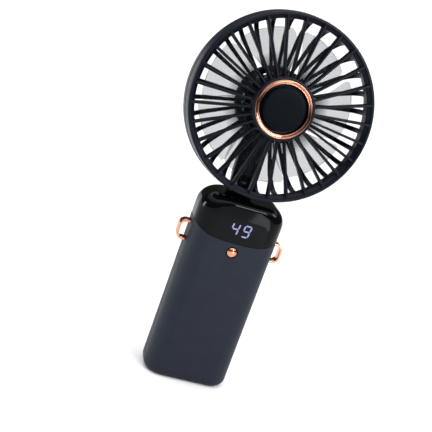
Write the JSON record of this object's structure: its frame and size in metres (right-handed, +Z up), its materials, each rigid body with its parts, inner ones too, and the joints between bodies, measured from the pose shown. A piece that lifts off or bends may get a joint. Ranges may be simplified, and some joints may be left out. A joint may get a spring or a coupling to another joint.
{
  "type": "handheld electric fan",
  "caption": "Handheld electric fan: round ribbed head on a tilting neck, flat rounded handle with gloss display cap, copper button and side lanyard loops.",
  "frame": {"origin": "centre of the flat base of the handle", "axes": "+Z up along the handle, -Y towards the front with the display and the air outlet, +X across the width"},
  "size_m": [0.0972, 0.0409, 0.2064],
  "materials": {
    "body_plastic": "soft-touch matte",
    "gloss_black": "gloss",
    "copper_trim": "polished rose-gold plating",
    "white_plastic": "matte",
    "steel": "satin",
    "circuit_board": "satin solder mask",
    "dark_plastic": "matte",
    "lit_digits": "lit white-blue",
    "cell_wrap": "satin shrink wrap",
    "nickel": "satin",
    "wire_red": "satin",
    "wire_black": "satin",
    "screw_steel": "black oxide",
    "zinc": "cast satin",
    "brass": "satin",
    "neck_plastic": "satin",
    "grille_dark": "satin",
    "grille_navy": "satin",
    "cap_navy": "soft matte",
    "lamination": "matte",
    "winding_copper": "enamelled",
    "magnet": "matte",
    "smoke_plastic": "smoke-tinted translucent"
  },
  "bodies": {
    "handle": {"front_shell": "body_plastic", "rear_shell": "body_plastic", "top_cap": "gloss_black", "tact_switch": "steel", "main_board": "circuit_board", "display_module": "dark_plastic", "display_digits": "lit_digits", "battery_cells": "cell_wrap", "cell_tabs": "nickel", "cell_cradle": "dark_plastic", "charge_board": "circuit_board", "usb_port": "steel", "cell_wires": "wire_red", "lanyard_loop_left": "copper_trim", "lanyard_loop_right": "copper_trim", "case_screws": "screw_steel", "hinge_bracket": "zinc", "hinge_shaft": "steel", "friction_washers": "brass", "bracket_screws": "screw_steel"},
    "head": {"neck_arm": "neck_plastic", "neck_cover": "neck_plastic", "neck_screws": "screw_steel", "rear_grille": "grille_dark", "front_grille": "grille_navy", "hub_ring": "copper_trim", "hub_cap": "cap_navy", "bearing_tube": "brass", "bearings": "steel", "motor_board": "circuit_board", "stator_core": "lamination", "stator_windings": "winding_copper", "motor_screws": "screw_steel", "motor_wires": "wire_black"},
    "rotor": {"impeller": "smoke_plastic", "rotor_cup": "steel", "magnet_ring": "magnet", "motor_shaft": "steel"},
    "button": {"power_button": "copper_trim", "button_plunger": "white_plastic"}
  },
  "joints": [
    {"name": "head_tilt", "type": "hinge", "parent": "handle", "child": "head", "pos_m": [0, 0.0085, 0.1015], "axis": [-1, 0, 0], "range_deg": [-5, 83]},
    {"name": "rotor_spin", "type": "hinge", "parent": "head", "child": "rotor", "pos_m": [0, 0.00617, 0.1568], "axis": [0, -0.9923, 0.1236], "continuous": true},
    {"name": "button_press", "type": "slide", "parent": "handle", "child": "button", "axis": [0, 1, 0], "range_m": [0, 0.0004], "stiffness_N_per_m": 1500, "springref_m": -0.0004}
  ]
}
